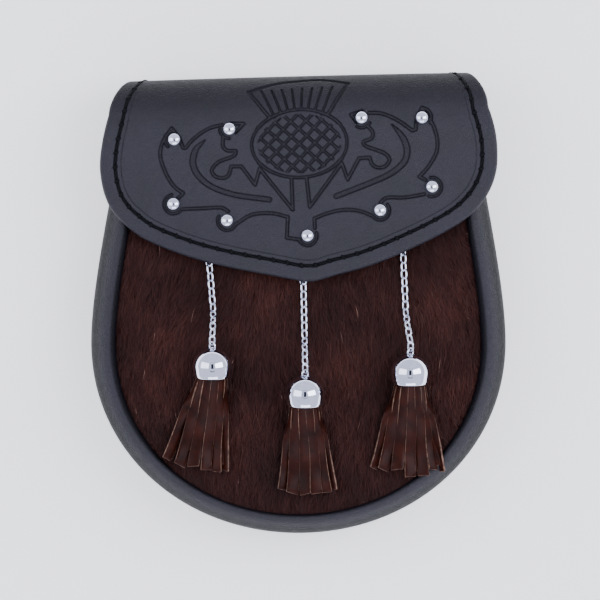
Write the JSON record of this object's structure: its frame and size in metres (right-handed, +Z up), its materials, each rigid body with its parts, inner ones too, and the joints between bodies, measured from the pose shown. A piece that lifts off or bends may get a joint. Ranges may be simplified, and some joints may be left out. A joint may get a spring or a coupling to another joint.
{
  "type": "sporran pouch",
  "caption": "Leather sporran pouch lying on its back, with an embossed studded flap folded over a fur front, chained tassels, a rounded leather rim and belt loops behind.",
  "frame": {"origin": "bottom centre of the pouch's bounding box, on the surface that it lies on", "axes": "+Z up, the way the fur front faces while the pouch lies on its back; +Y towards the fold of the flap; +X to the right as the front is seen with the fold at the top"},
  "size_m": [0.1822, 0.2026, 0.0586],
  "materials": {
    "black_leather": "smooth bridle leather, satin",
    "brown_fur": "short dark brown hair on hide",
    "brown_leather": "glossy thin leather strips",
    "chrome": "polished plate"
  },
  "bodies": {
    "root": {"back_panel": "black_leather", "gusset": "black_leather", "fur_panel": "brown_fur", "flap": "black_leather", "flap_snap": "chrome", "belt_loop_left": "black_leather", "belt_loop_right": "black_leather", "stud_1": "chrome", "stud_2": "chrome", "stud_3": "chrome", "stud_4": "chrome", "stud_5": "chrome", "stud_6": "chrome", "stud_7": "chrome", "stud_8": "chrome", "stud_9": "chrome", "chain_post_left": "chrome", "chain_left": "chrome", "tassel_eye_left": "chrome", "tassel_cap_left": "chrome", "fringe_left": "brown_leather", "chain_post_middle": "chrome", "chain_middle": "chrome", "tassel_eye_middle": "chrome", "tassel_cap_middle": "chrome", "fringe_middle": "brown_leather", "chain_post_right": "chrome", "chain_right": "chrome", "tassel_eye_right": "chrome", "tassel_cap_right": "chrome", "fringe_right": "brown_leather"}
  },
  "joints": []
}
